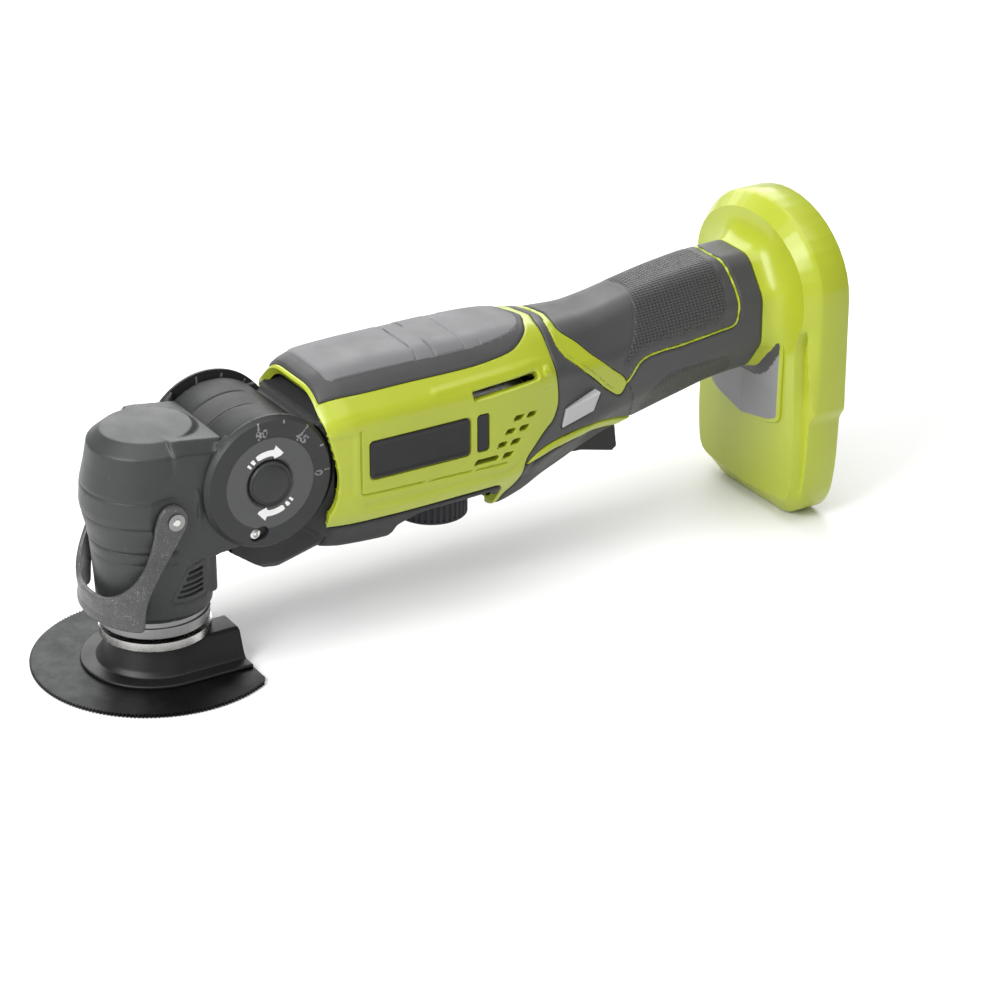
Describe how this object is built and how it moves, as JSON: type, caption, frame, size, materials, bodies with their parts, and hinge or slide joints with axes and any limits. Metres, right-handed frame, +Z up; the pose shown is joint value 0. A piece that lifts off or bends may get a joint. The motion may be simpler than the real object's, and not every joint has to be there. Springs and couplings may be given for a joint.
{
  "type": "cordless oscillating multi-tool",
  "caption": "Bare cordless oscillating multi-tool with a tilting head, half-moon saw blade, clamp lever, soft grips and a stem-battery foot.",
  "frame": {"origin": "spindle axis at the underside of the blade, which is the plane the tool stands on", "axes": "+Z up along the spindle, +X to the rear towards the battery foot, -Y the tool's left side"},
  "size_m": [0.3095, 0.088, 0.1215],
  "materials": {
    "green_plastic": "satin moulded",
    "soft_grip": "matte soft-touch",
    "black_plastic": "fine texture",
    "grey_plastic": "satin",
    "dark_casting": "satin powder coat",
    "seal_rubber": "matte",
    "bright_steel": "turned",
    "dark_steel": "black oxide",
    "lever_metal": "speckled metallic",
    "spring_steel": "drawn wire",
    "motor_steel": "bright plated",
    "magnet": "sintered",
    "brass": "bright",
    "circuit_board": "lacquered"
  },
  "bodies": {
    "body": {"housing_left": "green_plastic", "housing_right": "green_plastic", "top_grip": "soft_grip", "belly_bumper_left": "soft_grip", "belly_bumper_right": "soft_grip", "handle_grip_left": "soft_grip", "handle_grip_right": "soft_grip", "foot_apron": "soft_grip", "badge_plate_left": "black_plastic", "badge_plate_right": "black_plastic", "switch_module": "black_plastic", "terminal_block": "black_plastic", "battery_terminals": "brass", "dial_potentiometer": "black_plastic", "control_board": "circuit_board", "motor_can": "motor_steel", "motor_magnets": "magnet", "motor_end_plate": "black_plastic", "motor_bearings": "bright_steel", "carbon_brushes": "brass", "neck_casting": "dark_casting", "slot_seal": "seal_rubber", "pinion_bearing": "bright_steel", "cross_bearing": "bright_steel", "housing_screws": "bright_steel", "trigger_spring": "spring_steel"},
    "trigger": {"trigger": "black_plastic"},
    "lock_off": {"lock_off_button": "grey_plastic"},
    "dial": {"speed_dial": "black_plastic"},
    "rotor": {"rotor_shaft": "bright_steel", "commutator": "black_plastic", "cooling_fan": "black_plastic", "motor_pinion": "dark_steel"},
    "cross_gear": {"cross_gear": "dark_steel"},
    "head": {"head_housing": "dark_casting", "cheek_cover_left": "dark_casting", "cheek_cover_right": "dark_casting", "cover_screws": "bright_steel", "bearing_collar": "bright_steel", "lower_spindle_bearing": "bright_steel", "upper_spindle_bearing": "bright_steel", "input_bearing": "bright_steel", "button_spring_left": "spring_steel", "button_spring_right": "spring_steel"},
    "button_left": {"pivot_button_left": "dark_casting"},
    "button_right": {"pivot_button_right": "dark_casting"},
    "input_shaft": {"input_shaft": "bright_steel", "head_pinion": "dark_steel", "eccentric_bearing": "bright_steel", "counterweight": "dark_steel"},
    "spindle": {"spindle": "bright_steel", "oscillating_fork": "dark_steel", "blade_hub": "dark_steel", "blade_disc": "dark_steel"},
    "clamp": {"clamp_rod": "bright_steel", "clamp_cross_pin": "bright_steel", "clamp_collar": "bright_steel", "clamp_spring": "spring_steel"},
    "lever": {"clamp_lever": "lever_metal", "lever_pins": "bright_steel"}
  },
  "joints": [
    {"name": "head_tilt", "type": "hinge", "parent": "body", "child": "head", "pos_m": [0.034, 0, 0.0683], "axis": [0, 1, 0], "range_deg": [0, 90], "deforming": ["slot_seal"]},
    {"name": "rotor_spin", "type": "hinge", "parent": "body", "child": "rotor", "pos_m": [0.034, 0, 0.0683], "axis": [1, 0, 0], "continuous": true},
    {"name": "cross_spin", "type": "hinge", "parent": "body", "child": "cross_gear", "pos_m": [0.034, 0, 0.0683], "axis": [0, 1, 0], "continuous": true},
    {"name": "input_spin", "type": "hinge", "parent": "head", "child": "input_shaft", "pos_m": [0.034, 0, 0.0683], "axis": [1, 0, 0], "continuous": true},
    {"name": "spindle_swing", "type": "hinge", "parent": "head", "child": "spindle", "pos_m": [0, 0, 0.012], "axis": [0, 0, 1], "range_deg": [-1.6, 1.6]},
    {"name": "lever_swing", "type": "hinge", "parent": "head", "child": "lever", "pos_m": [-0.0015, 0, 0.0623], "axis": [0, 1, 0], "range_deg": [0, 90]},
    {"name": "clamp_slide", "type": "slide", "parent": "head", "child": "clamp", "axis": [0, 0, -1], "range_m": [0, 0.003], "deforming": ["clamp_spring"]},
    {"name": "button_left_press", "type": "slide", "parent": "head", "child": "button_left", "axis": [0, 1, 0], "range_m": [0, 0.0025], "stiffness_N_per_m": 400, "springref_m": -0.002, "deforming": ["button_spring_left"]},
    {"name": "button_right_press", "type": "slide", "parent": "head", "child": "button_right", "axis": [0, -1, 0], "range_m": [0, 0.0025], "stiffness_N_per_m": 400, "springref_m": -0.002, "deforming": ["button_spring_right"]},
    {"name": "trigger_pull", "type": "hinge", "parent": "body", "child": "trigger", "pos_m": [0.1576, 0, 0.0462], "axis": [0, -1, 0], "range_deg": [0, 6], "stiffness_Nm_per_rad": 0.6, "springref_deg": -6.88, "deforming": ["trigger_spring"]},
    {"name": "lock_off_slide", "type": "slide", "parent": "body", "child": "lock_off", "axis": [0, 1, 0], "range_m": [-0.003, 0.003]},
    {"name": "dial_turn", "type": "hinge", "parent": "body", "child": "dial", "pos_m": [0.111, 0, 0.03], "axis": [0, 0, 1], "range_deg": [-240, 30]}
  ],
  "couplings": [
    {"joint": "clamp_slide", "follows": "lever_swing", "m_per_rad": 0.0019099},
    {"joint": "cross_spin", "follows": "rotor_spin", "ratio": -0.54167},
    {"joint": "input_spin", "follows": "rotor_spin", "ratio": -1}
  ]
}
